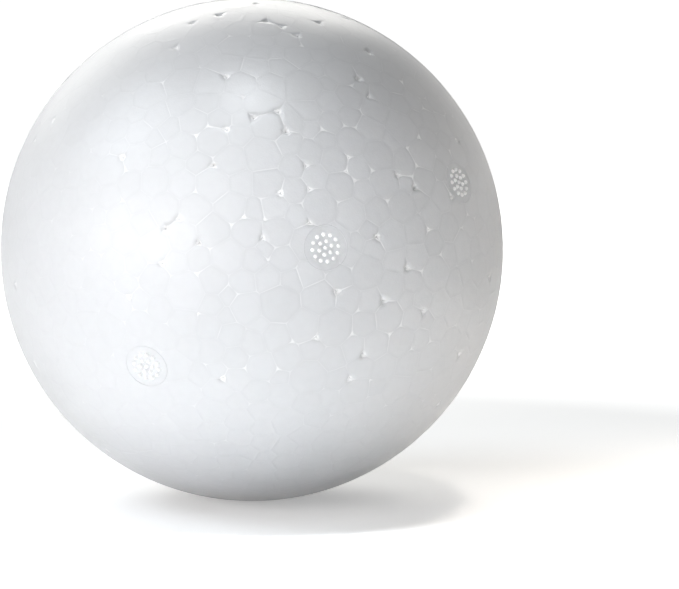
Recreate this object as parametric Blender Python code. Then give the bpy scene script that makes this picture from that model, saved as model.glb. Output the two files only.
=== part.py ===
"""Craft ball of expanded polystyrene, moulded in one piece from steam-fused beads.

Metres, +Z up, origin at the ball's centre. The two halves of the mould met in the XZ plane, so the
fine parting line runs round the ball there and each half drew off along Y. The skin shows every bead
as a low dome with a dip round it, small open voids where beads failed to close up, and the round flats
that the mould's steam vents left, each with its rings of pips.
"""

import math
import random

import bmesh
import bpy
from mathutils import Matrix, Vector
from mathutils.kdtree import KDTree

# The ball
BALL_DIAMETER = 0.150

# The beads, as they show on the skin
BEAD_SPACING = 0.0076  # average distance from the middle of one bead to the next
BEAD_SPREAD = 0.20  # standard deviation of a bead's size, as a share of the average
BEAD_LEAST, BEAD_MOST = 0.62, 1.45  # the smallest and the largest bead, as shares of the average
SKIN_DIP = 0.00038  # how far the skin dips where three beads meet
SETTLING_ROUNDS = 40  # how often the beads push each other apart before they fuse
SHORTEST_SIDE = 0.0004  # corners of beads that lie closer than this are one corner
SEED = 19

# Open voids, where three beads meet
VOID_REACH = 0.00075  # from the middle of a void to the end of each of its three arms
VOID_DEPTH = 0.00110
FRONT_VOIDS = (  # azimuth and elevation in degrees, from the top of the ball down
    (37, 67), (7, 64), (-29, 56), (48, 55), (-7, 46), (30, 46), (8, 39), (39, 36), (-1, 35),
    (-6, 32), (11, 29), (-32, 26), (-9, 24), (13, 22), (35, 21), (39, 17), (13, 16), (5, 16),
    (49, 15), (-14, 13), (12, 12), (4, 8), (28, 8), (-18, 8), (-11, 7), (37, 3), (-21, 1),
    (-28, -3), (16, -4), (31, -9), (41, -9), (13, -16), (25, -17), (-8, -26), (26, -27),
)
VOID_SHARE = 0.035  # share of the other meeting points, away from the front, that stayed open
FRONT_REACH = 60.0  # how many degrees from the front that other part of the skin starts

# Marks of the mould's steam vents
VENT_DIAMETER = 0.0125
VENT_SINK = 0.00012  # how far the rim of the flat lies under the ball's surface
PIP_DIAMETER = 0.00095
PIP_HEIGHT = 0.00045
PIP_PITCH = 0.00188  # from one ring of pips to the next
PIP_RINGS = (1, 6, 12)  # pips in each ring, from the middle outwards
PIP_SIDES = 5
FRONT_VENTS = ((15.7, 5.3), (56.0, 17.9), (-25.1, -21.2))  # azimuth and elevation in degrees
HALF_TURN = 180.0  # the other half of the mould is the same half, turned about +Z

# The parting line
SEAM_WIDTH = 0.0012
SEAM_HEIGHT = 0.00022

BALL_RADIUS = BALL_DIAMETER / 2
CUTTER_HEIGHT = 0.004  # how far a vent's cutter reaches out of the ball
PIP_ROOT = 0.0004  # how far a pip's cone goes into the flat that carries it
UP = Vector((0.0, 0.0, 1.0))


def clear_scene():
    for obj in list(bpy.data.objects):
        bpy.data.objects.remove(obj)


def new_collection(name):
    collection = bpy.data.collections.new(name)
    bpy.context.scene.collection.children.link(collection)
    return collection


def new_object(name, bm, collection):
    mesh = bpy.data.meshes.new(name)
    bm.to_mesh(mesh)
    bm.free()
    obj = bpy.data.objects.new(name, mesh)
    collection.objects.link(obj)
    return obj


def on_sphere(azimuth, elevation):
    """The direction that lies at these angles, in degrees. Azimuth 0 is -Y and 90 is +X."""
    a, e = math.radians(azimuth), math.radians(elevation)
    return Vector((math.sin(a) * math.cos(e), -math.cos(a) * math.cos(e), math.sin(e)))


def bead_reaches(rng):
    """Half the width of each bead, as an angle at the ball's centre, in radians."""
    cell_area = BEAD_SPACING**2 * math.sqrt(3) / 2
    count = round(4 * math.pi * BALL_RADIUS**2 / cell_area)
    average = BEAD_SPACING / 2 / BALL_RADIUS
    shares = [rng.gauss(1.0, BEAD_SPREAD) for _ in range(count)]
    return [average * min(max(share, BEAD_LEAST), BEAD_MOST) for share in shares]


def scattered(count, rng):
    """Directions spread over the ball on a golden spiral, each then knocked a little off its place."""
    golden_angle = math.pi * (3 - math.sqrt(5))
    knock = 0.35 * BEAD_SPACING / BALL_RADIUS
    places = []
    for i in range(count):
        z = 1 - (2 * i + 1) / count
        across = math.sqrt(1 - z * z)
        place = Vector((across * math.cos(i * golden_angle), across * math.sin(i * golden_angle), z))
        places.append((place + knock * Vector([rng.gauss(0, 1) for _ in range(3)])).normalized())
    return places


def settled(places, reaches):
    """The same directions after crowded neighbours have pushed each other apart, big beads the most."""
    widest = 2 * max(reaches)
    for _ in range(SETTLING_ROUNDS):
        tree = KDTree(len(places))
        for i, place in enumerate(places):
            tree.insert(place, i)
        tree.balance()
        pushes = [Vector() for _ in places]
        for i, place in enumerate(places):
            for neighbour, j, apart in tree.find_range(place, widest):
                short = reaches[i] + reaches[j] - apart
                if j != i and short > 0:
                    pushes[i] += (place - neighbour).normalized() * short * 0.4
        places = [(place + push).normalized() for place, push in zip(places, pushes)]
    return places


def faces_round(vert):
    """The faces that meet at this vertex, each one next to the one before it."""
    faces = []
    loop = vert.link_loops[0]
    while loop.face not in faces:
        faces.append(loop.face)
        loop = loop.link_loop_prev.link_loop_radial_next
    return faces


def bead_cells(places, reaches):
    """A mesh with one many-sided face for each bead, whose corners are where three beads meet.

    The convex hull of the beads' middles joins each bead to its neighbours. A wide bead's middle
    stands further out, so that the plane through three beads leans away from it and its cell grows.
    """
    hull = bmesh.new()
    for place, reach in zip(places, reaches):
        hull.verts.new(place / math.cos(reach))
    bmesh.ops.convex_hull(hull, input=hull.verts)
    bmesh.ops.triangulate(hull, faces=hull.faces)
    bmesh.ops.recalc_face_normals(hull, faces=hull.faces)
    hull.normal_update()

    cells = bmesh.new()
    corner_of = {face: cells.verts.new(face.normal * (BALL_RADIUS - SKIN_DIP)) for face in hull.faces}
    for bead in hull.verts:
        if not bead.link_faces:
            continue
        cells.faces.new([corner_of[face] for face in faces_round(bead)])
    hull.free()
    bmesh.ops.remove_doubles(cells, verts=cells.verts, dist=SHORTEST_SIDE)
    return cells


def void_corners(cells, rng):
    """The corners that stay open: the nearest to each void seen in front, and some of the others."""
    needed = 2.2 * VOID_REACH
    corners = [vert for vert in cells.verts if len(vert.link_edges) == 3]
    roomy = [vert for vert in corners if all(edge.calc_length() > needed for edge in vert.link_edges)]
    seen = [
        min(roomy, key=lambda vert: (vert.co - on_sphere(*place) * BALL_RADIUS).length)
        for place in FRONT_VOIDS
    ]
    front_limit = -BALL_RADIUS * math.cos(math.radians(FRONT_REACH))
    others = [vert for vert in roomy if vert.co.y > front_limit]
    return list(dict.fromkeys(seen)) + rng.sample(others, round(VOID_SHARE * len(others)))


def open_voids(cells, rng):
    """Widens some of the corners into three-sided voids, and returns the faces that close them."""
    return bmesh.ops.bevel(
        cells,
        geom=void_corners(cells, rng),
        offset=VOID_REACH,
        offset_type="OFFSET",
        segments=1,
        affect="VERTICES",
    )["faces"]


def raise_middles(cells, faces, radius):
    """Splits each face into a fan of triangles whose middle stands at this radius."""
    for middle in bmesh.ops.poke(cells, faces=faces)["verts"]:
        middle.co = middle.co.normalized() * radius


def draw_parting_line(cells):
    """Raises a fine ridge round the ball in the XZ plane, and returns its faces."""
    half = SEAM_WIDTH / 2
    for off in (0.0, -half, half):
        bmesh.ops.bisect_plane(
            cells,
            geom=cells.verts[:] + cells.edges[:] + cells.faces[:],
            dist=half / 2,
            plane_co=(0, off, 0),
            plane_no=(0, 1, 0),
            use_snap_center=True,
        )
    ridge = [face for face in cells.faces if all(abs(v.co.y) < 1.1 * half for v in face.verts)]
    for vert in {vert for face in ridge for vert in face.verts}:
        height = SEAM_HEIGHT if abs(vert.co.y) < half / 2 else 0.0
        vert.co = vert.co.normalized() * (BALL_RADIUS + height)
    return ridge


def bead_skin():
    """The moulded skin, before the vents mark it."""
    rng = random.Random(SEED)
    reaches = bead_reaches(rng)
    cells = bead_cells(settled(scattered(len(reaches), rng), reaches), reaches)
    ridge = draw_parting_line(cells)
    voids = open_voids(cells, rng)
    beads = [face for face in cells.faces if face not in ridge and face not in voids]
    for edge in cells.edges:
        edge.smooth = False
    raise_middles(cells, beads, BALL_RADIUS)
    raise_middles(cells, voids, BALL_RADIUS - VOID_DEPTH)
    bmesh.ops.triangulate(cells, faces=cells.faces)
    bmesh.ops.recalc_face_normals(cells, faces=cells.faces)
    return cells


def vent_frames():
    """For each vent, a frame with its origin in the middle of the flat and +Z straight out."""
    flat_radius = math.sqrt(BALL_RADIUS**2 - (VENT_DIAMETER / 2) ** 2) - VENT_SINK
    frames = []
    for turn in (0.0, HALF_TURN):
        for azimuth, elevation in FRONT_VENTS:
            outwards = on_sphere(azimuth + turn, elevation)
            turned = outwards.to_track_quat("Z", "Y").to_matrix().to_4x4()
            frames.append(Matrix.Translation(outwards * flat_radius) @ turned)
    return frames


def vent_cutters(frames, collection):
    """One short cylinder for each vent, which planes a flat on the ball."""
    bm = bmesh.new()
    for frame in frames:
        bmesh.ops.create_cone(
            bm,
            cap_ends=True,
            segments=24,
            radius1=VENT_DIAMETER / 2,
            radius2=VENT_DIAMETER / 2,
            depth=CUTTER_HEIGHT,
            matrix=frame @ Matrix.Translation(UP * CUTTER_HEIGHT / 2),
        )
    return new_object("vent_cutters", bm, collection)


def vent_pips(frames, collection):
    """The pips of foam that pushed into the holes of each vent."""
    bm = bmesh.new()
    height = PIP_HEIGHT + PIP_ROOT
    root_radius = PIP_DIAMETER / 2 * height / PIP_HEIGHT
    for frame in frames:
        for ring, pips in enumerate(PIP_RINGS):
            for i in range(pips):
                turn = Matrix.Rotation(2 * math.pi * i / pips, 4, "Z")
                place = turn @ Vector((ring * PIP_PITCH, 0.0, height / 2 - PIP_ROOT))
                bmesh.ops.create_cone(
                    bm,
                    cap_ends=True,
                    segments=PIP_SIDES,
                    radius1=root_radius,
                    radius2=0.0,
                    depth=height,
                    matrix=frame @ Matrix.Translation(place),
                )
    bmesh.ops.remove_doubles(bm, verts=bm.verts, dist=1e-6)
    return new_object("vent_pips", bm, collection)


def helper(obj):
    obj.hide_render = True
    obj.display_type = "WIRE"
    return obj


def joined(obj, operation, other):
    modifier = obj.modifiers.new(other.name, "BOOLEAN")
    modifier.operation = operation
    modifier.solver = "EXACT"
    modifier.object = other


def foam():
    """White expanded polystyrene, with the satin skin that a hot mould leaves."""
    material = bpy.data.materials.new("foam")
    material.use_nodes = True
    shader = material.node_tree.nodes["Principled BSDF"]
    shader.inputs["Base Color"].default_value = (0.86, 0.87, 0.88, 1.0)
    shader.inputs["Roughness"].default_value = 0.45
    shader.inputs["Metallic"].default_value = 0.0
    shader.inputs["Subsurface Weight"].default_value = 0.3
    shader.inputs["Subsurface Radius"].default_value = (0.004, 0.004, 0.004)
    return material


def polystyrene_ball(parts, helpers):
    ball = new_object("ball", bead_skin(), parts)
    frames = vent_frames()
    joined(ball, "DIFFERENCE", helper(vent_cutters(frames, helpers)))
    joined(ball, "UNION", helper(vent_pips(frames, helpers)))
    ball.data.shade_smooth()
    ball.data.materials.append(foam())
    return ball


def main():
    clear_scene()
    polystyrene_ball(new_collection("polystyrene_ball"), new_collection("helpers"))


main()
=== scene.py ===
"""Looks of a polystyrene ball: its skin of fused beads, the marks of the mould and a plain studio.

Metres, +Z up, origin at the ball's centre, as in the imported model. Run it as a script. It is laid out
as an add-on, so the sizes and colours that a user would change are properties of the scene, and each
piece has an operator in the sidebar of the 3D view.
"""

import math
import random

import bmesh
import bpy
from bpy.props import FloatProperty, FloatVectorProperty, IntProperty, PointerProperty
from mathutils import Matrix, Vector
from mathutils.kdtree import KDTree


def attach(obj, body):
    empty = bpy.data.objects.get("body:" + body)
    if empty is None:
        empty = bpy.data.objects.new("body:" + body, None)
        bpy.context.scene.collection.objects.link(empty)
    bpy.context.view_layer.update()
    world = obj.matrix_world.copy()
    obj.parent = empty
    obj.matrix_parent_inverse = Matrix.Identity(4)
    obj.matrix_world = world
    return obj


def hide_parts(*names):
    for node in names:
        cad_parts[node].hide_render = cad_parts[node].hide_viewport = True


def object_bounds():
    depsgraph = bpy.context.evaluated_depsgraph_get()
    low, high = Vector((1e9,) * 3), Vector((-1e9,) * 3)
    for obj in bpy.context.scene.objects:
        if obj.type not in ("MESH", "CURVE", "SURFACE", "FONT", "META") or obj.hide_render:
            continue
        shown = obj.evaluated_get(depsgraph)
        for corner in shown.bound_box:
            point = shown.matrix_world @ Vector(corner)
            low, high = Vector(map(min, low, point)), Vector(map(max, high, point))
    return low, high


bl_info = {
    "name": "Polystyrene Ball",
    "version": (1, 0, 0),
    "blender": (4, 5, 0),
    "location": "3D View > Sidebar > Foam Ball",
    "description": "Builds the bead skin, mould marks and studio of an expanded polystyrene ball",
    "category": "Object",
}

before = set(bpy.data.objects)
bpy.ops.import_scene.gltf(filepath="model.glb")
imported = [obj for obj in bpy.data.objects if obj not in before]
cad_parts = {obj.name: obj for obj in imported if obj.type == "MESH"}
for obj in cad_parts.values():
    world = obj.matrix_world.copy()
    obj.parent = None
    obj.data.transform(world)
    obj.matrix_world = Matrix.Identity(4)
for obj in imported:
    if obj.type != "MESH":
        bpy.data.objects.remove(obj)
CAD_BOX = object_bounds()

# The layout of the beads, voids and vents is the same as in the part's source, so these values, in
# metres and degrees, are the same too
BALL_RADIUS = 0.075
BEAD_SPACING = 0.0076  # average distance from the middle of one bead to the next
BEAD_SPREAD = 0.20  # standard deviation of a bead's size, as a share of the average
BEAD_LEAST, BEAD_MOST = 0.62, 1.45  # the smallest and the largest bead, as shares of the average
SKIN_DIP = 0.00038  # how far the skin dips where three beads meet
SHORTEST_SIDE = 0.0004  # corners of beads that lie closer than this are one corner
SCATTER_KNOCK = 0.35  # how far beads are knocked out of their even spiral, as a share of the spacing
SETTLING_ROUNDS = 40  # how often the beads push each other apart
SETTLING_STEP = 0.4  # how much of an overlap each bead gives way in a round
SEED = 19
VOID_REACH = 0.00075  # from the middle of a void to the end of each of its three arms
VOID_ROOM = 2.2  # the sides that meet at a void are longer than this many times its reach
FRONT_VOIDS = (  # azimuth and elevation
    (37, 67), (7, 64), (-29, 56), (48, 55), (-7, 46), (30, 46), (8, 39), (39, 36), (-1, 35),
    (-6, 32), (11, 29), (-32, 26), (-9, 24), (13, 22), (35, 21), (39, 17), (13, 16), (5, 16),
    (49, 15), (-14, 13), (12, 12), (4, 8), (28, 8), (-18, 8), (-11, 7), (37, 3), (-21, 1),
    (-28, -3), (16, -4), (31, -9), (41, -9), (13, -16), (25, -17), (-8, -26), (26, -27),
)
VOID_SHARE = 0.035  # share of the other corners, away from the front, that stay open
FRONT_REACH = 60.0  # how many degrees from the front that other part of the skin starts
FRONT_VENTS = ((15.7, 5.3), (56.0, 17.9), (-25.1, -21.2))  # azimuth and elevation
VENT_DIAMETER = 0.0125
PIP_PITCH = 0.00188  # from one ring of pips to the next
HALF_TURN = 180.0  # the other half of the mould is the same half, turned about +Z
SEAM_WIDTH = 0.0012
SEAM_HEIGHT = 0.00022

# The seam stands proud of the skin, so the skin lies this much lower to stay inside the CAD model's box
SKIN_RADIUS = BALL_RADIUS - 0.00015

# The rounded edge of a bead, how unlike its fall is from bead to bead, and the fine rim round a vent
RIM_WIDTH = 0.0011
RIM_DROP = 0.00002
RIM_DROP_SPREAD = 0.6
VENT_RIM_WIDTH = 0.00022
VENT_SMOOTHING = 0.8  # how much of the beads' relief a vent's flat hides

# The pips of a vent, and how far their rings of 6 and 12 are turned, in radians
PIP_DIAMETER = 0.0012
PIP_HEIGHT = 0.00065
PIP_RING_TURNS = (0.62, -0.12)

# Where each side of a bead's outline is cut, so that it can bend: evenly, or close to a void at its start
SIDE_CUTS = (0.18, 0.5, 0.82)
VOID_CUTS = (0.12, 0.3, 0.6)

# The joints show best round this place (azimuth and elevation) and half a turn from it. From the first
# of these angles to the second the beads are better and better fused, until their joints hardly show
LOOSE_PLACE = (22.0, 22.0)
LOOSE_ANGLES = (30.0, 60.0)
FUSED_LOSS = 0.8  # the share of a gap that is lost where the beads are best fused

# Each corner and side draws a chance from 0 to 1, raised to one of these powers so that wide gaps are
# rare. They are least rare on the sides that end at a void
CORNER_RARITY = 6
SIDE_RARITY = 5
VOID_SIDE_RARITY = 1.5

# What it gets of each setting, and of raw foam: this much at least, and this much more at full chance
CORNER_RETREAT = (0.7, 1.8)
CORNER_DEPTH = (1.0, 9.0)
CORNER_FOAM = (0.1, 0.9)
SIDE_WIDTH = (0.5, 1.5)
SIDE_DEPTH = (0.4, 2.0)
SIDE_FOAM = (0.03, 0.35)
VOID_SIDE_FOAM = (0.03, 0.5)
SEAM_FOAM = 0.2

# The smallest and the largest void, and the shallowest and the deepest, as shares of their settings
VOID_SIZES = (0.7, 1.3)
VOID_DEPTHS = (0.5, 1.4)


# Node helpers

NODE_GAP = 190  # from one node to the next in the editor


def new_tree(name, kind, inputs, outputs):
    """A node group with these sockets: {name: (socket type, default)} in, {name: socket type} out."""
    tree = bpy.data.node_groups.new(name, kind)
    for label, (socket_type, default) in inputs.items():
        socket = tree.interface.new_socket(label, in_out="INPUT", socket_type=socket_type)
        if default is not None:
            socket.default_value = default
    for label, socket_type in outputs.items():
        tree.interface.new_socket(label, in_out="OUTPUT", socket_type=socket_type)
    return tree


def put(tree, kind, inputs=None, **settings):
    """Adds a node with these settings. Each input, by name or number, is a value or another's output."""
    node = tree.nodes.new(kind)
    node.location.x = NODE_GAP * len(tree.nodes)
    for name, value in settings.items():
        setattr(node, name, value)
    for key, value in (inputs or {}).items():
        if isinstance(value, bpy.types.NodeSocket):
            tree.links.new(value, node.inputs[key])
        else:
            node.inputs[key].default_value = value
    return node


def maths(tree, operation, *values):
    """The result of a maths operation on numbers or other nodes' outputs."""
    return put(tree, "ShaderNodeMath", dict(enumerate(values)), operation=operation).outputs[0]


def vectors(tree, operation, *values):
    """The result of a vector operation, a number for a length, product or distance."""
    node = put(tree, "ShaderNodeVectorMath", operation=operation)
    for key, value in enumerate(values):
        socket = node.inputs["Scale"] if operation == "SCALE" and key == 1 else node.inputs[key]
        if isinstance(value, bpy.types.NodeSocket):
            tree.links.new(value, socket)
        else:
            socket.default_value = value
    return node.outputs["Value" if operation in ("LENGTH", "DOT_PRODUCT", "DISTANCE") else "Vector"]


def ramp(tree, value, low, high, to_low=0.0, to_high=1.0):
    """value, from low to high, carried smoothly to to_low and to_high."""
    return put(
        tree,
        "ShaderNodeMapRange",
        {"Value": value, "From Min": low, "From Max": high, "To Min": to_low, "To Max": to_high},
        interpolation_type="SMOOTHSTEP",
    ).outputs["Result"]


def set_inputs(modifier, **values):
    """Sets a Geometry Nodes modifier's inputs, given by their names with _ for each space."""
    for item in modifier.node_group.interface.items_tree:
        key = item.name.replace(" ", "_")
        if item.item_type == "SOCKET" and item.in_out == "INPUT" and key in values:
            modifier[item.identifier] = values[key]


def run_nodes(obj, tree, **values):
    """Puts the tree on obj and turns what it makes into obj's own plain mesh."""
    modifier = obj.modifiers.new(tree.name, "NODES")
    modifier.node_group = tree
    set_inputs(modifier, **values)
    graph = bpy.context.evaluated_depsgraph_get()
    made = bpy.data.meshes.new_from_object(obj.evaluated_get(graph))
    obj.modifiers.remove(modifier)
    old = obj.data
    obj.data = made
    made.name = obj.name
    bpy.data.meshes.remove(old)
    if not made.polygons:
        raise RuntimeError(f"{obj.name}: the node tree made no faces")


def new_object(name, mesh):
    obj = bpy.data.objects.new(name, mesh)
    bpy.context.scene.collection.objects.link(obj)
    return obj


# The net of bead outlines


def on_sphere(azimuth, elevation):
    """The direction that lies at these angles, in degrees. Azimuth 0 is -Y and 90 is +X."""
    a, e = math.radians(azimuth), math.radians(elevation)
    return Vector((math.sin(a) * math.cos(e), -math.cos(a) * math.cos(e), math.sin(e)))


def bead_reaches(rng):
    """How far each bead reaches from its middle, as an angle. They are of unlike size."""
    cell_area = BEAD_SPACING**2 * math.sqrt(3) / 2
    count = round(4 * math.pi * BALL_RADIUS**2 / cell_area)
    average = BEAD_SPACING / 2 / BALL_RADIUS
    shares = [rng.gauss(1.0, BEAD_SPREAD) for _ in range(count)]
    return [average * min(max(share, BEAD_LEAST), BEAD_MOST) for share in shares]


def scattered(count, rng):
    """Directions spread evenly over the sphere in a spiral, each one knocked a little aside."""
    golden_angle = math.pi * (3 - math.sqrt(5))
    knock = SCATTER_KNOCK * BEAD_SPACING / BALL_RADIUS
    places = []
    for i in range(count):
        z = 1 - (2 * i + 1) / count
        across = math.sqrt(1 - z * z)
        place = Vector((across * math.cos(i * golden_angle), across * math.sin(i * golden_angle), z))
        places.append((place + knock * Vector([rng.gauss(0, 1) for _ in range(3)])).normalized())
    return places


def settled(places, reaches):
    """The places after crowded neighbours have pushed each other apart."""
    widest = 2 * max(reaches)
    for _ in range(SETTLING_ROUNDS):
        tree = KDTree(len(places))
        for i, place in enumerate(places):
            tree.insert(place, i)
        tree.balance()
        pushes = [Vector() for _ in places]
        for i, place in enumerate(places):
            for neighbour, j, apart in tree.find_range(place, widest):
                short = reaches[i] + reaches[j] - apart
                if j != i and short > 0:
                    pushes[i] += (place - neighbour).normalized() * short * SETTLING_STEP
        places = [(place + push).normalized() for place, push in zip(places, pushes)]
    return places


def faces_round(vert):
    """The faces that meet at this vertex, each one next to the one before it."""
    faces = []
    loop = vert.link_loops[0]
    while loop.face not in faces:
        faces.append(loop.face)
        loop = loop.link_loop_prev.link_loop_radial_next
    return faces


def bead_net(places, reaches):
    """A mesh with one many-sided face for each bead, whose corners are where three beads meet."""
    hull = bmesh.new()
    for place, reach in zip(places, reaches):
        hull.verts.new(place / math.cos(reach))
    bmesh.ops.convex_hull(hull, input=hull.verts)
    bmesh.ops.triangulate(hull, faces=hull.faces)
    bmesh.ops.recalc_face_normals(hull, faces=hull.faces)
    hull.normal_update()

    net = bmesh.new()
    corner_of = {face: net.verts.new(face.normal * (BALL_RADIUS - SKIN_DIP)) for face in hull.faces}
    for bead in hull.verts:
        if bead.link_faces:
            net.faces.new([corner_of[face] for face in faces_round(bead)])
    hull.free()
    bmesh.ops.remove_doubles(net, verts=net.verts, dist=SHORTEST_SIDE)
    bmesh.ops.recalc_face_normals(net, faces=net.faces)
    for vertex_value in ("retreat", "sink", "opened", "fused"):
        net.verts.layers.float.new(vertex_value)
    net.faces.layers.float.new("bead")
    return net


def cut_parting_line(net):
    """Cuts the net along the parting line, raises the strip there as in the part, and returns its faces."""
    half = SEAM_WIDTH / 2
    within = 1.1 * half  # a little slack, as the cuts lie at half
    for off in (0.0, -half, half):
        bmesh.ops.bisect_plane(
            net,
            geom=net.verts[:] + net.edges[:] + net.faces[:],
            dist=half / 2,
            plane_co=(0, off, 0),
            plane_no=(0, 1, 0),
            use_snap_center=True,
        )
    strip = [face for face in net.faces if all(abs(v.co.y) < within for v in face.verts)]
    for vert in {vert for face in strip for vert in face.verts}:
        height = SEAM_HEIGHT if abs(vert.co.y) < half / 2 else 0.0
        vert.co = vert.co.normalized() * (BALL_RADIUS + height)
    return strip


def void_corners(net, rng):
    """The corners that stay open: the nearest to each void seen in front, and some of the others."""
    needed = VOID_ROOM * VOID_REACH
    corners = [vert for vert in net.verts if len(vert.link_edges) == 3]
    roomy = [vert for vert in corners if all(edge.calc_length() > needed for edge in vert.link_edges)]
    seen = [
        min(roomy, key=lambda vert: (vert.co - on_sphere(*place) * BALL_RADIUS).length)
        for place in FRONT_VOIDS
    ]
    front_limit = -BALL_RADIUS * math.cos(math.radians(FRONT_REACH))
    others = [vert for vert in roomy if vert.co.y > front_limit]
    return list(dict.fromkeys(seen)) + rng.sample(others, round(VOID_SHARE * len(others)))


def cut_side(edge, start, cuts):
    """Cuts an edge at these shares of its length from start, and returns the new vertices."""
    end = edge.other_vert(start)
    first, last = start.co.copy(), end.co.copy()
    made = []
    for share in cuts:
        vert = bmesh.utils.edge_split(edge, start, 0.5)[1]
        vert.co = first.lerp(last, share)
        made.append(vert)
        start = vert
        edge = next(item for item in vert.link_edges if end in item.verts)
    return made


def fused_share(point):
    """How well the beads are fused at this point of the ball, from 0 to 1."""
    azimuth, elevation = LOOSE_PLACE
    places = [on_sphere(azimuth + turn, elevation) for turn in (0.0, HALF_TURN)]
    apart = math.degrees(min(point.angle(place) for place in places))
    near, far = LOOSE_ANGLES
    return min(max((apart - near) / (far - near), 0.0), 1.0)


def grown(least_and_more, chance, parted=1.0):
    """The least, as far as the beads are parted there, and more of the rest the higher the chance."""
    least, more = least_and_more
    return least * parted + more * chance


def mark_corner(vert, layers, is_void, skin, rng):
    """Gives a corner its values, as mark_gaps says: an open void's, or those of a closed one."""
    if is_void:
        vert[layers["retreat"]] = skin.void_size * rng.uniform(*VOID_SIZES)
        vert[layers["sink"]] = skin.void_depth * rng.uniform(*VOID_DEPTHS)
        vert[layers["opened"]] = 1.0
        return
    parted = 1.0 - FUSED_LOSS * fused_share(vert.co)
    chance = rng.random() ** CORNER_RARITY * parted
    vert[layers["retreat"]] = skin.corner_retreat * grown(CORNER_RETREAT, chance)
    vert[layers["sink"]] = skin.groove_depth * grown(CORNER_DEPTH, chance, parted)
    vert[layers["opened"]] = grown(CORNER_FOAM, chance, parted)


def mark_side(edge, layers, void_set, skin, rng):
    """Cuts up this side, gives the new vertices their values, and returns them."""
    ends = sorted(edge.verts, key=lambda vert: vert not in void_set)
    open_ends = sum(vert in void_set for vert in ends)
    parted = 1.0 - FUSED_LOSS * fused_share(ends[0].co)
    chance = rng.random() ** (VOID_SIDE_RARITY if open_ends else SIDE_RARITY) * parted
    values = {
        "retreat": skin.groove_width / 2 * grown(SIDE_WIDTH, chance),
        "sink": skin.groove_depth * grown(SIDE_DEPTH, chance, parted),
        "opened": grown(VOID_SIDE_FOAM if open_ends else SIDE_FOAM, chance, parted),
    }
    made = cut_side(edge, ends[0], VOID_CUTS if open_ends == 1 else SIDE_CUTS)
    for vert in made:
        near = min(ends, key=lambda end: (end.co - vert.co).length)
        away = (near.co - vert.co).length
        fade = math.exp(-((away / skin.corner_fade) ** 2))
        for name, value in values.items():
            layer = layers[name]
            vert[layer] = value + (near[layer] - value) * fade
    return made


def mark_gaps(net, strip, voids, skin, rng):
    """Cuts up the sides of the outlines, and writes on each vertex how the beads stand there.

    retreat is how far each bead's edge stands back from the outline, sink how deep the dip between the
    beads is, and opened how much raw foam shows there. All three are greatest at a void and fade along
    its arms, and every other corner and side has a little of its own, the less the better it is fused.
    """
    layers = net.verts.layers.float
    bead = net.faces.layers.float["bead"]
    for face in net.faces:
        face[bead] = 1.0
    for face in strip:
        face[bead] = 0.0
    on_strip = {vert for face in strip for vert in face.verts}
    void_set = set(voids)
    for vert in net.verts:
        mark_corner(vert, layers, vert in void_set, skin, rng)
    for edge in net.edges[:]:
        along_strip = all(vert in on_strip for vert in edge.verts)
        made = mark_side(edge, layers, void_set, skin, rng)
        if along_strip:
            on_strip.update(made)
    for vert in on_strip:
        on_ridge = abs(vert.co.y) < SEAM_WIDTH / 4
        vert[layers["opened"]] = SEAM_FOAM
        vert[layers["retreat"]] = skin.groove_width / 4
        vert[layers["sink"]] = -SEAM_HEIGHT if on_ridge else skin.groove_depth / 3
    for vert in net.verts:
        vert.co = vert.co.normalized() * SKIN_RADIUS
        vert[layers["fused"]] = fused_share(vert.co)


def vent_places():
    """The points of the skin over the middles of the steam vents, those in front and their twins."""
    return [
        on_sphere(azimuth + turn, elevation) * SKIN_RADIUS
        for turn in (0.0, HALF_TURN)
        for azimuth, elevation in FRONT_VENTS
    ]


# Geometry trees

MOST_INSET = 0.5  # the share of the way to a bead's middle that the gap, or the rim, takes at most
MERGE_DISTANCE = 0.000001
PIPS_IN_FIRST_RING = 6
PIP_SEGMENTS, PIP_RINGS = 10, 6
RIM_SEGMENTS, RIM_SIDES = 64, 6


def named(tree, name, kind="FLOAT"):
    """The named attribute's value."""
    return put(tree, "GeometryNodeInputNamedAttribute", {"Name": name}, data_type=kind).outputs[0]


def store(tree, geometry, name, value, selection=True, domain="POINT", kind="FLOAT"):
    """The geometry with value written to the named attribute where it is selected."""
    return put(
        tree,
        "GeometryNodeStoreNamedAttribute",
        {"Geometry": geometry, "Selection": selection, "Name": name, "Value": value},
        data_type=kind,
        domain=domain,
    ).outputs[0]


def step_inwards(tree, geometry, faces, inset, most):
    """Gives each of these faces a smaller copy of itself, set in towards its middle by inset.

    It goes most of the way to the middle at the furthest, where most is a share of that way.
    """
    extruded = put(
        tree,
        "GeometryNodeExtrudeMesh",
        {"Mesh": geometry, "Selection": faces, "Offset Scale": 0.0, "Individual": True},
        mode="FACES",
    )
    position = put(tree, "GeometryNodeInputPosition").outputs[0]
    inwards = vectors(tree, "SUBTRACT", named(tree, "middle", "FLOAT_VECTOR"), position)
    share = maths(tree, "MINIMUM", maths(tree, "DIVIDE", inset, vectors(tree, "LENGTH", inwards)), most)
    moved = put(
        tree,
        "GeometryNodeSetPosition",
        {
            "Geometry": extruded.outputs["Mesh"],
            "Selection": extruded.outputs["Top"],
            "Offset": vectors(tree, "SCALE", inwards, share),
        },
    ).outputs[0]
    return moved, extruded.outputs["Top"]


def flat_distance(tree, ball_radius, vent_radius):
    """How far the middle of a vent's flat is from the ball's centre."""
    squares = [maths(tree, "MULTIPLY", radius, radius) for radius in (ball_radius, vent_radius)]
    return maths(tree, "SQRT", maths(tree, "SUBTRACT", *squares))


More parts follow.
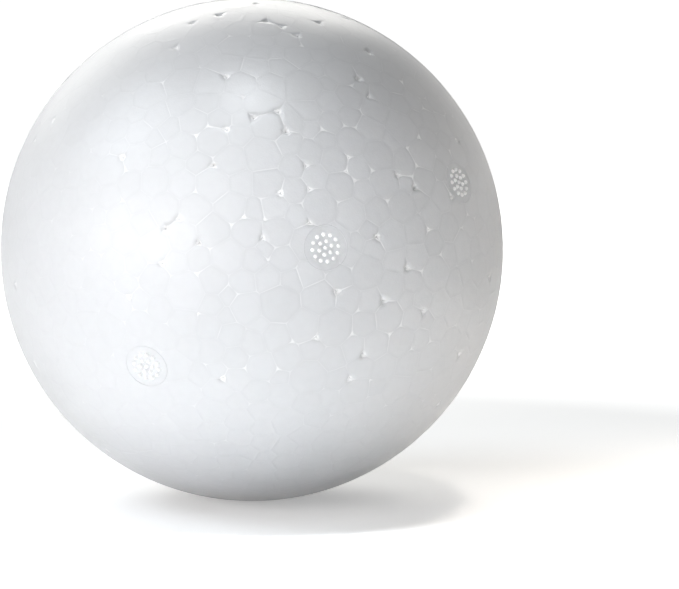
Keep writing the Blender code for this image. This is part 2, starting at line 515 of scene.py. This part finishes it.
def mould_radius(tree, outwards, group_in):
    """How far the mould's wall is from the ball's centre in a direction, and 1 on a vent's flat."""
    position = put(tree, "GeometryNodeInputPosition").outputs[0]
    vents = put(tree, "GeometryNodeObjectInfo", {"Object": group_in.outputs["Vents"]}).outputs["Geometry"]
    nearest = put(
        tree, "GeometryNodeSampleNearest", {"Geometry": vents, "Sample Position": position}
    ).outputs[0]
    vent = put(
        tree,
        "GeometryNodeSampleIndex",
        {"Geometry": vents, "Value": position, "Index": nearest},
        data_type="FLOAT_VECTOR",
    ).outputs[0]
    cosine = vectors(tree, "DOT_PRODUCT", outwards, vectors(tree, "NORMALIZE", vent))
    ball_radius = group_in.outputs["Ball Radius"]
    vent_radius = maths(tree, "MULTIPLY", group_in.outputs["Vent Diameter"], 0.5)
    flat = flat_distance(tree, ball_radius, vent_radius)
    on_flat = maths(tree, "GREATER_THAN", cosine, maths(tree, "DIVIDE", flat, ball_radius))
    return maths(tree, "MINIMUM", ball_radius, maths(tree, "DIVIDE", flat, cosine)), on_flat


def bead_relief_tree():
    """Turns each outline of the net into a bead with a rounded edge and a dip round it."""
    tree = new_tree(
        "Bead relief",
        "GeometryNodeTree",
        {
            "Net": ("NodeSocketGeometry", None),
            "Ball Radius": ("NodeSocketFloat", SKIN_RADIUS),
            "Rim Width": ("NodeSocketFloat", RIM_WIDTH),
            "Rim Drop": ("NodeSocketFloat", RIM_DROP),
            "Rim Drop Spread": ("NodeSocketFloat", RIM_DROP_SPREAD),
            "Vent Diameter": ("NodeSocketFloat", VENT_DIAMETER),
            "Vent Smoothing": ("NodeSocketFloat", VENT_SMOOTHING),
            "Vents": ("NodeSocketObject", None),
            "Seed": ("NodeSocketInt", SEED),
            "Material": ("NodeSocketMaterial", None),
        },
        {"Skin": "NodeSocketGeometry"},
    )
    group_in = put(tree, "NodeGroupInput")
    position = put(tree, "GeometryNodeInputPosition").outputs[0]
    beads = maths(tree, "GREATER_THAN", named(tree, "bead"), 0.5)

    geometry = store(tree, group_in.outputs["Net"], "middle", position, domain="FACE", kind="FLOAT_VECTOR")
    tones = put(
        tree, "FunctionNodeRandomValue", {"Seed": group_in.outputs["Seed"]}, data_type="FLOAT"
    )
    geometry = store(tree, geometry, "tone", tones.outputs[1], domain="FACE")
    geometry = store(tree, geometry, "gap", 1.0)
    geometry = store(tree, geometry, "rim", 1.0)
    geometry = store(tree, geometry, "drop", named(tree, "sink"))

    off_average = maths(tree, "SUBTRACT", named(tree, "tone"), 0.5)
    spread = maths(tree, "MULTIPLY", off_average, group_in.outputs["Rim Drop Spread"])
    rim_drop = maths(tree, "MULTIPLY", group_in.outputs["Rim Drop"], maths(tree, "ADD", 1.0, spread))

    # Three steps inwards: the edge of the gap, the inside of the rounded rim, and the bead's middle
    geometry, top = step_inwards(tree, geometry, beads, named(tree, "retreat"), MOST_INSET)
    geometry = store(tree, geometry, "gap", 0.0, top)
    geometry = store(tree, geometry, "drop", rim_drop, top)
    geometry, top = step_inwards(tree, geometry, top, group_in.outputs["Rim Width"], MOST_INSET)
    geometry = store(tree, geometry, "rim", 0.0, top)
    geometry = store(tree, geometry, "drop", 0.0, top)
    geometry, top = step_inwards(tree, geometry, top, 1.0, 1.0)
    geometry = put(
        tree,
        "GeometryNodeMergeByDistance",
        {"Geometry": geometry, "Selection": top, "Distance": MERGE_DISTANCE},
    ).outputs[0]

    outwards = vectors(tree, "NORMALIZE", position)
    radius, on_flat = mould_radius(tree, outwards, group_in)
    smoothed = maths(tree, "MULTIPLY", on_flat, group_in.outputs["Vent Smoothing"])
    eased = maths(tree, "SUBTRACT", 1.0, smoothed)
    geometry = store(tree, geometry, "gap", maths(tree, "MULTIPLY", named(tree, "gap"), eased))
    drop = maths(tree, "MULTIPLY", named(tree, "drop"), eased)
    placed = put(
        tree,
        "GeometryNodeSetPosition",
        {
            "Geometry": geometry,
            "Position": vectors(tree, "SCALE", outwards, maths(tree, "SUBTRACT", radius, drop)),
        },
    ).outputs[0]
    smooth = put(tree, "GeometryNodeSetShadeSmooth", {"Geometry": placed}).outputs[0]
    whole = put(tree, "GeometryNodeRealizeInstances", {"Geometry": smooth}).outputs[0]
    finished = put(
        tree,
        "GeometryNodeSetMaterial",
        {"Geometry": whole, "Material": group_in.outputs["Material"]},
    ).outputs[0]
    put(tree, "NodeGroupOutput", {"Skin": finished})
    return tree


def vent_mark_tree():
    """Puts the rings of pips and the fine rim of a steam vent at each point of the vents' mesh."""
    tree = new_tree(
        "Vent marks",
        "GeometryNodeTree",
        {
            "Vents": ("NodeSocketGeometry", None),
            "Ball Radius": ("NodeSocketFloat", SKIN_RADIUS),
            "Vent Diameter": ("NodeSocketFloat", VENT_DIAMETER),
            "Rim Width": ("NodeSocketFloat", VENT_RIM_WIDTH),
            "Pip Diameter": ("NodeSocketFloat", PIP_DIAMETER),
            "Pip Height": ("NodeSocketFloat", PIP_HEIGHT),
            "Pip Pitch": ("NodeSocketFloat", PIP_PITCH),
            "Pip Material": ("NodeSocketMaterial", None),
            "Rim Material": ("NodeSocketMaterial", None),
        },
        {"Marks": "NodeSocketGeometry"},
    )
    group_in = put(tree, "NodeGroupInput")
    pip_radius = maths(tree, "MULTIPLY", group_in.outputs["Pip Diameter"], 0.5)
    pip = put(
        tree,
        "GeometryNodeMeshUVSphere",
        {"Segments": PIP_SEGMENTS, "Rings": PIP_RINGS, "Radius": pip_radius},
    ).outputs["Mesh"]
    flattened = maths(tree, "DIVIDE", group_in.outputs["Pip Height"], pip_radius)
    squash = put(tree, "ShaderNodeCombineXYZ", {"X": 1.0, "Y": 1.0, "Z": flattened}).outputs[0]
    rings = put(tree, "GeometryNodeJoinGeometry")
    tree.links.new(put(tree, "GeometryNodeMeshLine", {"Count": 1}).outputs[0], rings.inputs[0])
    for ring, turn in enumerate(PIP_RING_TURNS, start=1):
        circle = put(
            tree,
            "GeometryNodeMeshCircle",
            {
                "Vertices": PIPS_IN_FIRST_RING * ring,
                "Radius": maths(tree, "MULTIPLY", group_in.outputs["Pip Pitch"], float(ring)),
            },
        ).outputs[0]
        turned = put(
            tree, "GeometryNodeTransform", {"Geometry": circle, "Rotation": (0.0, 0.0, turn)}
        ).outputs[0]
        tree.links.new(turned, rings.inputs[0])
    pips = put(
        tree,
        "GeometryNodeInstanceOnPoints",
        {"Points": rings.outputs[0], "Instance": pip, "Scale": squash},
    ).outputs[0]
    vent_radius = maths(tree, "MULTIPLY", group_in.outputs["Vent Diameter"], 0.5)
    rim_radius = maths(tree, "MULTIPLY", group_in.outputs["Rim Width"], 0.5)
    path, section = (
        put(
            tree, "GeometryNodeCurvePrimitiveCircle", {"Resolution": corners, "Radius": radius}
        ).outputs["Curve"]
        for corners, radius in ((RIM_SEGMENTS, vent_radius), (RIM_SIDES, rim_radius))
    )
    rim = put(
        tree, "GeometryNodeCurveToMesh", {"Curve": path, "Profile Curve": section}
    ).outputs[0]
    mark = put(tree, "GeometryNodeJoinGeometry")
    tree.links.new(pips, mark.inputs[0])
    tree.links.new(store(tree, rim, "on_rim", 1.0), mark.inputs[0])

    position = put(tree, "GeometryNodeInputPosition").outputs[0]
    facing = put(
        tree, "FunctionNodeAlignRotationToVector", {"Vector": position}, axis="Z"
    ).outputs[0]
    flat = flat_distance(tree, group_in.outputs["Ball Radius"], vent_radius)
    on_flats = put(
        tree,
        "GeometryNodeSetPosition",
        {
            "Geometry": group_in.outputs["Vents"],
            "Position": vectors(tree, "SCALE", vectors(tree, "NORMALIZE", position), flat),
        },
    ).outputs[0]
    marks = put(
        tree,
        "GeometryNodeInstanceOnPoints",
        {"Points": on_flats, "Instance": mark.outputs[0], "Rotation": facing},
    ).outputs[0]
    whole = put(tree, "GeometryNodeRealizeInstances", {"Geometry": marks}).outputs[0]
    finished = put(tree, "GeometryNodeSetShadeSmooth", {"Geometry": whole}).outputs[0]
    on_rim = maths(tree, "GREATER_THAN", named(tree, "on_rim"), 0.5)
    for label, selection in (("Pip Material", True), ("Rim Material", on_rim)):
        finished = put(
            tree,
            "GeometryNodeSetMaterial",
            {"Geometry": finished, "Selection": selection, "Material": group_in.outputs[label]},
        ).outputs[0]
    put(tree, "NodeGroupOutput", {"Marks": finished})
    return tree


# Materials

FOAM_IOR = 1.5
GRAIN_BUMP = 0.4
GRAIN_DEPTH = 0.00012
CELL_SIZE = 0.0004
WAVE_SIZE = 0.0025
WAVE_DETAIL = 3.0
CELL_SHARE = 0.35  # how much the cells count in the grain's height, beside the waves
GRAIN_SPREAD = 0.06  # how unlike the skin's tone is from place to place
BEAD_TONE_SPREAD = 0.05  # how unlike it is from bead to bead
FUSED_FADE = 0.75  # how much less a bead stands out where the beads are best fused
RAW_ROUGHNESS = 0.8
RAW_ENOUGH = 0.6  # the share of raw foam at which a place is as rough as raw foam
PIP_ROUGHNESS = 0.7
PIP_SHADE = 0.94  # the darkest tone of the pips, as a share of the raw foam's

# From where to where, between a bead's edge (0) and the middle of a dip (1), raw foam comes up and then
# goes dark with painted shade, and how open a place has to be to get that shade
RAW_GAPS = (0.05, 0.5)
HOLLOW_GAPS = (0.7, 1.0)
HOLLOW_OPENINGS = (0.6, 1.0)


def foam_grain():
    """Fine cells of the foam: a height for bump and a slight unevenness of tone."""
    built = bpy.data.node_groups.get("Foam grain")
    if built:
        return built
    tree = new_tree(
        "Foam grain",
        "ShaderNodeTree",
        {
            "Cell Size": ("NodeSocketFloat", CELL_SIZE),
            "Waviness Size": ("NodeSocketFloat", WAVE_SIZE),
        },
        {"Height": "NodeSocketFloat", "Unevenness": "NodeSocketFloat"},
    )
    group_in = put(tree, "NodeGroupInput")
    place = put(tree, "ShaderNodeTexCoord").outputs["Object"]
    cells = put(
        tree,
        "ShaderNodeTexVoronoi",
        {"Vector": place, "Scale": maths(tree, "DIVIDE", 1.0, group_in.outputs["Cell Size"])},
        feature="SMOOTH_F1",
    ).outputs["Distance"]
    wave_scale = maths(tree, "DIVIDE", 1.0, group_in.outputs["Waviness Size"])
    waves = put(
        tree,
        "ShaderNodeTexNoise",
        {"Vector": place, "Scale": wave_scale, "Detail": WAVE_DETAIL},
    ).outputs["Fac"]
    height = maths(tree, "SUBTRACT", waves, maths(tree, "MULTIPLY", cells, CELL_SHARE))
    put(tree, "NodeGroupOutput", {"Height": height, "Unevenness": waves})
    return tree


def mixed(tree, factor, first, second):
    """The colour that is first at factor 0 and second at factor 1."""
    return put(tree, "ShaderNodeMix", {0: factor, 6: first, 7: second}, data_type="RGBA").outputs[2]


def attribute(tree, name):
    """The value that the mesh's attribute of this name has on the surface."""
    return put(tree, "ShaderNodeAttribute", attribute_name=name).outputs["Fac"]


def variation(tree, value, amount):
    """value, from 0 to 1, as a change of tone up or down by half of amount."""
    return maths(tree, "MULTIPLY", maths(tree, "SUBTRACT", value, 0.5), amount)


def foam_material(name, settings):
    """A white foam material with its tree, its shader and the unevenness of its grain."""
    material = bpy.data.materials.new(name)
    material.use_nodes = True
    tree = material.node_tree
    shader = tree.nodes["Principled BSDF"]
    shader.inputs["Subsurface Weight"].default_value = settings.glow
    shader.inputs["Subsurface Radius"].default_value = (1.0, 1.0, 1.0)
    shader.inputs["Subsurface Scale"].default_value = settings.glow_depth
    shader.inputs["IOR"].default_value = FOAM_IOR
    grain = put(tree, "ShaderNodeGroup", node_tree=foam_grain()).outputs
    bump = put(
        tree,
        "ShaderNodeBump",
        {"Height": grain["Height"], "Strength": GRAIN_BUMP, "Distance": GRAIN_DEPTH},
    )
    tree.links.new(bump.outputs[0], shader.inputs["Normal"])
    return material, tree, shader, grain["Unevenness"]


def skin_material(settings):
    """The satin skin of the beads, with painted shade on their rounded edges, the raw foam between them,
    and painted shade deep in a void.
    """
    material, tree, shader, unevenness = foam_material("foam_skin", settings)
    skin = (*settings.skin_and_edge_shade_colour, 1.0)
    middle = (*settings.lit_middle_colour, 1.0)
    raw = (*settings.foam_colour, 1.0)
    deep = (*settings.hollow_shade_colour, 1.0)

    # Painted light and shade of each bead's dome: the colour is darker on the rounded edge and lighter in
    # the middle, and this fades where the beads are best fused
    faded = maths(tree, "MULTIPLY", attribute(tree, "fused"), FUSED_FADE)
    parted = maths(tree, "SUBTRACT", 1.0, faded)
    rim = ramp(tree, attribute(tree, "rim"), 0.0, 1.0)
    body = mixed(tree, maths(tree, "MULTIPLY", rim, parted), middle, skin)
    of_bead = variation(tree, attribute(tree, "tone"), BEAD_TONE_SPREAD)
    shade = maths(tree, "ADD", 1.0, maths(tree, "MULTIPLY", of_bead, parted))
    shade = maths(tree, "ADD", shade, variation(tree, unevenness, GRAIN_SPREAD))
    toned = vectors(tree, "SCALE", body, shade)

    gap = attribute(tree, "gap")
    opened = attribute(tree, "opened")
    bare = maths(tree, "MULTIPLY", ramp(tree, gap, *RAW_GAPS), opened)
    # Painted shade: deep in an open void the colour turns dark, standing in for light lost between the
    # beads
    hollow_shade = maths(tree, "MULTIPLY", ramp(tree, gap, *HOLLOW_GAPS), ramp(tree, opened, *HOLLOW_OPENINGS))
    colour = mixed(tree, hollow_shade, mixed(tree, bare, toned, raw), deep)
    tree.links.new(colour, shader.inputs["Base Color"])
    roughness = ramp(tree, bare, 0.0, RAW_ENOUGH, settings.skin_roughness, RAW_ROUGHNESS)
    tree.links.new(roughness, shader.inputs["Roughness"])
    return material


def raw_foam_material(settings):
    """The torn, unglazed foam of the pips."""
    material, tree, shader, unevenness = foam_material("foam_pips", settings)
    raw = Vector(settings.foam_colour)
    colour = mixed(tree, unevenness, (*(raw * PIP_SHADE), 1.0), (*raw, 1.0))
    tree.links.new(colour, shader.inputs["Base Color"])
    shader.inputs["Roughness"].default_value = PIP_ROUGHNESS
    return material


# Settings


def length_setting(name, description, default, least, most, digits=5):
    return FloatProperty(
        name=name,
        description=description,
        default=default,
        min=least,
        max=most,
        precision=digits,
        subtype="DISTANCE",
        unit="LENGTH",
    )


def share_setting(name, description, default):
    return FloatProperty(
        name=name, description=description, default=default, min=0.0, max=1.0, subtype="FACTOR"
    )


def power_setting(name, description, default):
    return FloatProperty(
        name=name, description=description, default=default, min=0.0, max=200.0, unit="POWER"
    )


def colour_setting(name, description, default):
    return FloatVectorProperty(
        name=name, description=description, default=default, min=0.0, max=1.0, subtype="COLOR"
    )


class FoamBallSkinSettings(bpy.types.PropertyGroup):
    groove_width: length_setting(
        "Groove Width",
        "Average width of the dip along the side where two beads meet",
        0.00026,
        0.00005,
        0.002,
    )
    groove_depth: length_setting(
        "Groove Depth", "Average depth of the dip where two beads meet", 0.00002, 0.0, 0.001
    )
    corner_retreat: length_setting(
        "Corner Retreat",
        "How far a bead's rounded corner stands back from the point where three beads meet",
        0.0003,
        0.0001,
        0.002,
    )
    corner_fade: length_setting(
        "Corner Fade",
        "How far from a corner its wider gap reaches along the beads' sides",
        0.0008,
        0.0003,
        0.004,
    )
    void_size: length_setting(
        "Void Size",
        "How far the beads stand back from the middle of an open void",
        0.001,
        0.0002,
        0.003,
    )
    void_depth: length_setting("Void Depth", "Average depth of an open void", 0.0010, 0.0, 0.002)
    rim_width: length_setting(
        "Rim Width", "Width of the rounded edge of each bead", RIM_WIDTH, 0.0002, 0.003
    )
    rim_drop: length_setting(
        "Rim Drop",
        "How far each bead's rounded edge falls from the ball's surface",
        RIM_DROP,
        0.0,
        0.0005,
    )
    # The skin's own colour, darkened on each bead's rounded edge as painted shade, and a lighter middle
    # colour as painted light on the bead's flatter top
    skin_and_edge_shade_colour: colour_setting(
        "Skin Colour", "Colour of the satin skin near the edge of a bead", (0.59, 0.595, 0.605)
    )
    lit_middle_colour: colour_setting(
        "Bead Middle Colour",
        "Colour of the satin skin in the middle of a bead",
        (0.615, 0.62, 0.63),
    )
    foam_colour: colour_setting(
        "Raw Foam Colour",
        "Colour of the unglazed foam in voids and on pips",
        (0.975, 0.975, 0.975),
    )
    # Painted shade deep in open voids, standing in for light lost between the beads
    hollow_shade_colour: colour_setting(
        "Hollow Shade Colour",
        "Colour deep in a void, where light goes down between the beads and is lost",
        (0.50, 0.50, 0.51),
    )
    skin_roughness: share_setting("Skin Roughness", "Roughness of the satin skin", 0.38)
    glow: share_setting(
        "Translucency",
        "Share of the light that spreads inside the foam before it comes out",
        0.3,
    )
    glow_depth: length_setting(
        "Translucency Depth", "How far light spreads inside the foam", 0.0005, 0.0, 0.05, 4
    )
    seed: IntProperty(name="Seed", description="Seed of what is random on each bead", default=SEED)


class FoamBallVentSettings(bpy.types.PropertyGroup):
    diameter: length_setting(
        "Vent Diameter",
        "Width of the flat that a steam vent leaves",
        VENT_DIAMETER,
        0.004,
        0.03,
        4,
    )
    rim_width: length_setting(
        "Rim Width",
        "Thickness of the fine raised rim round the flat",
        VENT_RIM_WIDTH,
        0.00005,
        0.001,
    )
    pip_diameter: length_setting("Pip Diameter", "Width of each pip", PIP_DIAMETER, 0.0002, 0.003)
    pip_height: length_setting(
        "Pip Height", "Height of each pip over the flat", PIP_HEIGHT, 0.0001, 0.002
    )
    pip_pitch: length_setting(
        "Pip Pitch", "Distance from one ring of pips to the next", PIP_PITCH, 0.0005, 0.005
    )


class FoamBallStageSettings(bpy.types.PropertyGroup):
    floor_colour: colour_setting("Floor Colour", "Colour of the floor", (0.93, 0.93, 0.93))
    ambient: share_setting("Ambient Light", "Strength of the even light from all round", 0.07)
    key_power: power_setting(
        "Key Light Power",
        "Power of the large soft light at the left, at about the height of the ball",
        8.9,
    )
    top_power: power_setting(
        "Top Light Power", "Power of the large soft light at the left, above the ball", 6.6
    )
    rim_power: power_setting(
        "Rim Light Power",
        "Power of the soft light behind the ball, which another at the back left has half of",
        5.3,
    )
    low_power: power_setting(
        "Low Light Power",
        "Power of the low, wide light in front on the right, just over the floor",
        1.5,
    )
    bounce_power: power_setting(
        "Bounce Light Power",
        "Power of the narrow light that the floor in front throws up onto the ball",
        1.65,
    )


# Operators


class FOAMBALL_OT_skin(bpy.types.Operator):
    """Build the skin of fused beads, with its dips, voids, vent flats and parting line"""

    bl_idname = "foamball.skin"
    bl_label = "Bead Skin"
    bl_options = {"REGISTER", "UNDO"}

    def execute(self, context):
        skin = context.scene.foam_ball_skin
        vent = context.scene.foam_ball_vents
        rng = random.Random(SEED)
        reaches = bead_reaches(rng)
        net = bead_net(settled(scattered(len(reaches), rng), reaches), reaches)
        strip = cut_parting_line(net)
        mark_gaps(net, strip, void_corners(net, rng), skin, rng)
        mesh = bpy.data.meshes.new("ball_skin")
        net.to_mesh(mesh)
        net.free()
        piece = new_object("ball_skin", mesh)

        markers = bpy.data.meshes.new("vent_places")
        markers.from_pydata(vent_places(), [], [])
        vents = new_object("vent_places", markers)
        run_nodes(
            piece,
            bead_relief_tree(),
            Ball_Radius=SKIN_RADIUS,
            Rim_Width=skin.rim_width,
            Rim_Drop=skin.rim_drop,
            Vent_Diameter=vent.diameter,
            Vents=vents,
            Seed=skin.seed,
            Material=skin_material(skin),
        )
        bpy.data.objects.remove(vents)
        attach(piece, "root")
        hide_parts("ball")
        return {"FINISHED"}


class FOAMBALL_OT_vent_marks(bpy.types.Operator):
    """Build the rings of pips and the fine rim that each steam vent of the mould leaves"""

    bl_idname = "foamball.vent_marks"
    bl_label = "Vent Marks"
    bl_options = {"REGISTER", "UNDO"}

    def execute(self, context):
        vent = context.scene.foam_ball_vents
        mesh = bpy.data.meshes.new("vent_marks")
        mesh.from_pydata(vent_places(), [], [])
        piece = new_object("vent_marks", mesh)
        run_nodes(
            piece,
            vent_mark_tree(),
            Ball_Radius=SKIN_RADIUS,
            Vent_Diameter=vent.diameter,
            Rim_Width=vent.rim_width,
            Pip_Diameter=vent.pip_diameter,
            Pip_Height=vent.pip_height,
            Pip_Pitch=vent.pip_pitch,
            Pip_Material=raw_foam_material(context.scene.foam_ball_skin),
            Rim_Material=bpy.data.materials["foam_skin"],
        )
        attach(piece, "root")
        return {"FINISHED"}


# The lamps: their distance from the ball, their sizes, and their colours
LAMP_DISTANCE = 1.3
LAMP_SIZE = (0.7, 0.7)
KEY_SIZE = (1.2, 0.6)
LOW_SIZE = (0.9, 0.04)
KEY_COLOUR = (1.0, 0.95, 0.92)
TOP_COLOUR = (0.86, 0.93, 1.0)
RIM_COLOUR = (1.0, 0.98, 0.93)
RIM_LEFT_COLOUR = (1.0, 1.0, 0.95)
LOW_COLOUR = (0.93, 0.97, 1.0)
RIM_LEFT_SHARE = 0.5  # of the rim light's power

# Two lamps that shine down on the floor beside the ball. The reach is from the middle of the ball to the
# middle of the lit patch
BOUNCE_HEIGHT = 0.6
BOUNCE_REACH = 0.28
BOUNCE_SIZE = (0.25, 0.25)
BOUNCE_SPREAD = 28.0
BOUNCE_COLOUR = (0.93, 0.97, 1.0)
BOUNCE_RIGHT_COLOUR = (1.0, 0.93, 0.85)
BOUNCE_RIGHT_SHARE = 0.32  # of the bounce light's power


def area_light(name, size, power, colour):
    data = bpy.data.lights.new(name, "AREA")
    data.shape = "RECTANGLE"
    data.size, data.size_y = size
    data.energy = power
    data.color = colour
    lamp = bpy.data.objects.new(name, data)
    bpy.context.scene.collection.objects.link(lamp)
    return lamp


def soft_light(name, azimuth, elevation, size, power, colour):
    """A large soft light in this direction, which faces the ball."""
    lamp = area_light(name, size, power, colour)
    lamp.location = on_sphere(azimuth, elevation) * LAMP_DISTANCE
    lamp.rotation_euler = (-lamp.location).to_track_quat("-Z", "Y").to_euler()


def bounce_light(name, azimuth, power, colour):
    """A narrow light that shines straight down beside the ball, so that the floor lights the ball."""
    lamp = area_light(name, BOUNCE_SIZE, power, colour)
    lamp.data.spread = math.radians(BOUNCE_SPREAD)
    lamp.location = on_sphere(azimuth, 0.0) * BOUNCE_REACH + Vector((0.0, 0.0, BOUNCE_HEIGHT))


# The floor. For the camera it fades to pure white between these two distances from its middle
FLOOR_REACH = 60.0
FLOOR_ROUGHNESS = 0.9
FLOOR_FADE = (BALL_RADIUS, 6 * BALL_RADIUS)
FLOOR_LIFT = 0.35  # how much white the floor near the ball adds for the camera and for reflections

# The photograph's frame, in pixels, and where the ball's outline lies in it
PHOTO_SIZE = (679, 589)
OUTLINE_CENTRE = (252.4, 250.2)
OUTLINE_RADIUS = 251.7
CAMERA_DISTANCE = 12 * BALL_RADIUS
CAMERA_ELEVATION = 5.0
SENSOR_WIDTH = 36.0
CLIP_START = 0.05


def aimed_camera():
    """A camera that sees the ball's outline where the photograph has it, with no lens shift."""
    focal_px = OUTLINE_RADIUS * math.sqrt((CAMERA_DISTANCE / BALL_RADIUS) ** 2 - 1)
    data = bpy.data.cameras.new("camera")
    data.sensor_fit = "HORIZONTAL"
    data.sensor_width = SENSOR_WIDTH
    data.lens = focal_px / PHOTO_SIZE[0] * SENSOR_WIDTH
    data.clip_start = CLIP_START
    data.clip_end = 3 * FLOOR_REACH
    camera = bpy.data.objects.new("camera", data)
    camera.location = on_sphere(0.0, CAMERA_ELEVATION) * CAMERA_DISTANCE
    aim = (-camera.location).to_track_quat("-Z", "Y").to_matrix()
    left = math.atan((PHOTO_SIZE[0] / 2 - OUTLINE_CENTRE[0]) / focal_px)
    up = math.atan((PHOTO_SIZE[1] / 2 - OUTLINE_CENTRE[1]) / focal_px)
    aside = Matrix.Rotation(-left, 3, "Y") @ Matrix.Rotation(-up, 3, "X")
    camera.rotation_euler = (aim @ aside).to_euler()
    bpy.context.scene.collection.objects.link(camera)
    bpy.context.scene.camera = camera


def seen_or_mirrored(tree):
    """1 for rays that the camera or a reflection sends out, and 0 for rays that gather light."""
    path = put(tree, "ShaderNodeLightPath").outputs
    seen = maths(tree, "MAXIMUM", path["Is Camera Ray"], path["Is Glossy Ray"])
    return maths(tree, "MAXIMUM", seen, path["Is Transmission Ray"])


def studio_world(ambient):
    """Surroundings that are white to look at, but light the ball no more than ambient says."""
    world = bpy.data.worlds.new("studio")
    world.use_nodes = True
    tree = world.node_tree
    background = tree.nodes["Background"]
    white = seen_or_mirrored(tree)
    strength = maths(tree, "ADD", maths(tree, "MULTIPLY", white, 1.0 - ambient), ambient)
    tree.links.new(strength, background.inputs["Strength"])
    background.inputs["Color"].default_value = (1.0, 1.0, 1.0, 1.0)
    bpy.context.scene.world = world


def studio_floor(colour):
    """A pale floor under the ball, lifted to the white of the backdrop but with the ball's shadow."""
    bm = bmesh.new()
    bmesh.ops.create_grid(bm, x_segments=1, y_segments=1, size=FLOOR_REACH)
    bmesh.ops.translate(bm, verts=bm.verts, vec=(0.0, 0.0, CAD_BOX[0][2]))
    mesh = bpy.data.meshes.new("floor")
    bm.to_mesh(mesh)
    bm.free()
    floor = new_object("floor", mesh)
    material = bpy.data.materials.new("floor")
    material.use_nodes = True
    tree = material.node_tree
    shader = tree.nodes["Principled BSDF"]
    shader.inputs["Base Color"].default_value = (*colour, 1.0)
    shader.inputs["Roughness"].default_value = FLOOR_ROUGHNESS
    shader.inputs["Specular IOR Level"].default_value = 0.0
    shader.inputs["Emission Color"].default_value = (1.0, 1.0, 1.0, 1.0)
    place = put(tree, "ShaderNodeTexCoord").outputs["Object"]
    away = vectors(tree, "LENGTH", vectors(tree, "MULTIPLY", place, (1.0, 1.0, 0.0)))
    camera = put(tree, "ShaderNodeLightPath").outputs["Is Camera Ray"]
    far = maths(tree, "MULTIPLY", camera, ramp(tree, away, *FLOOR_FADE))
    near = maths(tree, "MULTIPLY", seen_or_mirrored(tree), FLOOR_LIFT)
    lift = maths(tree, "MAXIMUM", near, far)
    tree.links.new(lift, shader.inputs["Emission Strength"])
    mesh.materials.append(material)


class FOAMBALL_OT_stage(bpy.types.Operator):
    """Set up the pale floor, the white surroundings, the soft lights and the camera"""

    bl_idname = "foamball.stage"
    bl_label = "Stage"
    bl_options = {"REGISTER", "UNDO"}

    def execute(self, context):
        stage = context.scene.foam_ball_stage
        studio_floor(stage.floor_colour)
        studio_world(stage.ambient)
        rim_left_power = RIM_LEFT_SHARE * stage.rim_power
        bounce_right_power = BOUNCE_RIGHT_SHARE * stage.bounce_power
        soft_light("key", -47.0, 8.0, KEY_SIZE, stage.key_power, KEY_COLOUR)
        soft_light("top", -80.0, 47.0, LAMP_SIZE, stage.top_power, TOP_COLOUR)
        soft_light("rim", 180.0, 35.0, LAMP_SIZE, stage.rim_power, RIM_COLOUR)
        soft_light("rim_left", -150.0, 30.0, LAMP_SIZE, rim_left_power, RIM_LEFT_COLOUR)
        soft_light("low", 25.0, -2.0, LOW_SIZE, stage.low_power, LOW_COLOUR)
        bounce_light("bounce", -16.0, stage.bounce_power, BOUNCE_COLOUR)
        bounce_light("bounce_right", 70.0, bounce_right_power, BOUNCE_RIGHT_COLOUR)
        aimed_camera()
        context.scene.view_settings.view_transform = "Standard"
        return {"FINISHED"}


class FOAMBALL_PT_panel(bpy.types.Panel):
    """Sizes, colours and pieces of the polystyrene ball"""

    bl_idname = "FOAMBALL_PT_panel"
    bl_label = "Foam Ball"
    bl_space_type = "VIEW_3D"
    bl_region_type = "UI"
    bl_category = "Foam Ball"

    def draw(self, context):
        scene = context.scene
        for title, settings, operator in (
            ("Skin", scene.foam_ball_skin, FOAMBALL_OT_skin),
            ("Vent marks", scene.foam_ball_vents, FOAMBALL_OT_vent_marks),
            ("Stage", scene.foam_ball_stage, FOAMBALL_OT_stage),
        ):
            box = self.layout.box()
            box.label(text=title)
            for name in settings.__annotations__:
                box.prop(settings, name)
            box.operator(operator.bl_idname)


CLASSES = (
    FoamBallSkinSettings,
    FoamBallVentSettings,
    FoamBallStageSettings,
    FOAMBALL_OT_skin,
    FOAMBALL_OT_vent_marks,
    FOAMBALL_OT_stage,
    FOAMBALL_PT_panel,
)


def register():
    for cls in CLASSES:
        bpy.utils.register_class(cls)
    bpy.types.Scene.foam_ball_skin = PointerProperty(type=FoamBallSkinSettings)
    bpy.types.Scene.foam_ball_vents = PointerProperty(type=FoamBallVentSettings)
    bpy.types.Scene.foam_ball_stage = PointerProperty(type=FoamBallStageSettings)


def unregister():
    del bpy.types.Scene.foam_ball_stage
    del bpy.types.Scene.foam_ball_vents
    del bpy.types.Scene.foam_ball_skin
    for cls in reversed(CLASSES):
        bpy.utils.unregister_class(cls)


def main():
    register()
    bpy.ops.foamball.skin()
    bpy.ops.foamball.vent_marks()
    bpy.ops.foamball.stage()


if __name__ == "__main__":
    main()
